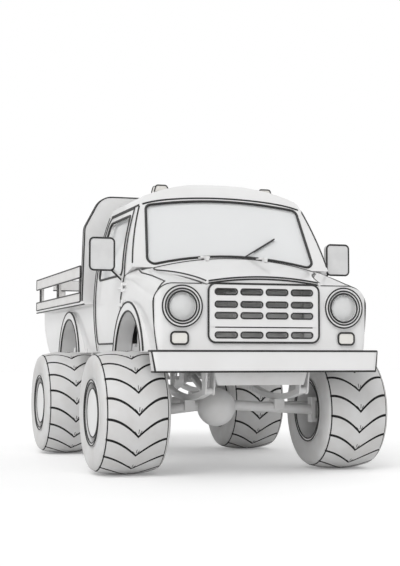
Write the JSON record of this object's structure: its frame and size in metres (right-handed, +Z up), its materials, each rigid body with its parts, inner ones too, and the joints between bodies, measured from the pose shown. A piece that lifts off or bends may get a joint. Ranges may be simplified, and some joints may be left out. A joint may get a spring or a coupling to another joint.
{
  "type": "pickup truck",
  "caption": "High-riding pickup truck with oversized lugged tyres, a short cab, slotted grille, opening doors, hood and tailgate, and a stake bed.",
  "frame": {"origin": "on the ground, midway along and across the truck", "axes": "+Z up, the front faces -Y, the vehicle's left side is +X"},
  "size_m": [2.466, 4.7, 2.49],
  "materials": {
    "paint": "gloss white paint",
    "chassis_paint": "satin pale paint",
    "bare_steel": "pale cast and drawn metal",
    "glass": "clear glass",
    "plastic": "pale moulded plastic",
    "seat_cloth": "pale woven seat cloth",
    "lamp_plastic": "pale lamp plastic",
    "seal_rubber": "black rubber",
    "board": "white-painted boards",
    "floor_steel": "pale painted steel",
    "tyre": "pale non-marking rubber"
  },
  "bodies": {
    "chassis": {"frame": "chassis_paint", "engine_block": "bare_steel", "front_axle": "chassis_paint", "rear_axle": "chassis_paint", "propshafts": "bare_steel", "leaf_springs": "chassis_paint", "front_bumper": "paint", "fuel_tank": "bare_steel", "cab_floor": "paint", "cab_front": "paint", "cab_roof": "paint", "cab_back": "paint", "cab_glass": "glass", "dashboard": "plastic", "steering_wheel": "plastic", "bench_seat": "seat_cloth", "fender_right": "paint", "fender_left": "paint", "nose_panel": "paint", "grille": "paint", "headlamps": "paint", "lamp_lenses": "glass", "marker_lamps": "lamp_plastic", "roof_lamps": "lamp_plastic", "wiper": "seal_rubber", "cab_guard": "paint", "bed_floor": "floor_steel", "bed_wall_right": "paint", "bed_wall_left": "paint", "stake_side_right": "board", "stake_side_left": "board"},
    "right_door": {"door_right": "paint", "door_glass_right": "glass", "mirror_right": "plastic"},
    "left_door": {"door_left": "paint", "door_glass_left": "glass", "mirror_left": "plastic"},
    "hood_lid": {"hood": "paint"},
    "gate": {"tailgate": "board"},
    "right_knuckle": {"knuckle_right": "chassis_paint"},
    "left_knuckle": {"knuckle_left": "chassis_paint"},
    "rod": {"tie_rod": "bare_steel"},
    "wheel_front_right": {"tyre_front_right": "tyre", "rim_front_right": "paint"},
    "wheel_front_left": {"tyre_front_left": "tyre", "rim_front_left": "paint"},
    "wheel_rear_right": {"tyre_rear_right": "tyre", "rim_rear_right": "paint"},
    "wheel_rear_left": {"tyre_rear_left": "tyre", "rim_rear_left": "paint"}
  },
  "joints": [
    {"name": "right_steer", "type": "hinge", "parent": "chassis", "child": "right_knuckle", "pos_m": [-0.8, -1.5, 0.505], "axis": [0, 0, 1], "range_deg": [-28, 28]},
    {"name": "left_steer", "type": "hinge", "parent": "chassis", "child": "left_knuckle", "pos_m": [0.8, -1.5, 0.505], "axis": [0, 0, 1], "range_deg": [-28.5, 28.5]},
    {"name": "rod_slide", "type": "slide", "parent": "chassis", "child": "rod", "axis": [1, 0, 0], "range_m": [-0.062, 0.062]},
    {"name": "wheel_front_right_spin", "type": "hinge", "parent": "right_knuckle", "child": "wheel_front_right", "pos_m": [-0.95, -1.5, 0.505], "axis": [1, 0, 0], "continuous": true},
    {"name": "wheel_front_left_spin", "type": "hinge", "parent": "left_knuckle", "child": "wheel_front_left", "pos_m": [0.95, -1.5, 0.505], "axis": [1, 0, 0], "continuous": true},
    {"name": "wheel_rear_right_spin", "type": "hinge", "parent": "chassis", "child": "wheel_rear_right", "pos_m": [-0.95, 0.84, 0.505], "axis": [1, 0, 0], "continuous": true},
    {"name": "wheel_rear_left_spin", "type": "hinge", "parent": "chassis", "child": "wheel_rear_left", "pos_m": [0.95, 0.84, 0.505], "axis": [1, 0, 0], "continuous": true},
    {"name": "right_door_hinge", "type": "hinge", "parent": "chassis", "child": "right_door", "pos_m": [-0.917, -1.295, 1.5], "axis": [0, 0, 1], "range_deg": [0, 65]},
    {"name": "left_door_hinge", "type": "hinge", "parent": "chassis", "child": "left_door", "pos_m": [0.917, -1.295, 1.5], "axis": [0, 0, -1], "range_deg": [0, 65]},
    {"name": "hood_hinge", "type": "hinge", "parent": "chassis", "child": "hood_lid", "pos_m": [0, -1.546, 1.7946], "axis": [-1, 0, 0], "range_deg": [0, 55]},
    {"name": "gate_hinge", "type": "hinge", "parent": "chassis", "child": "gate", "pos_m": [0, 2.334, 1.106], "axis": [-1, 0, 0], "range_deg": [0, 90]}
  ],
  "couplings": [
    {"joint": "left_steer", "follows": "right_steer", "ratio": 1},
    {"joint": "rod_slide", "follows": "right_steer", "m_per_rad": -0.1201}
  ]
}
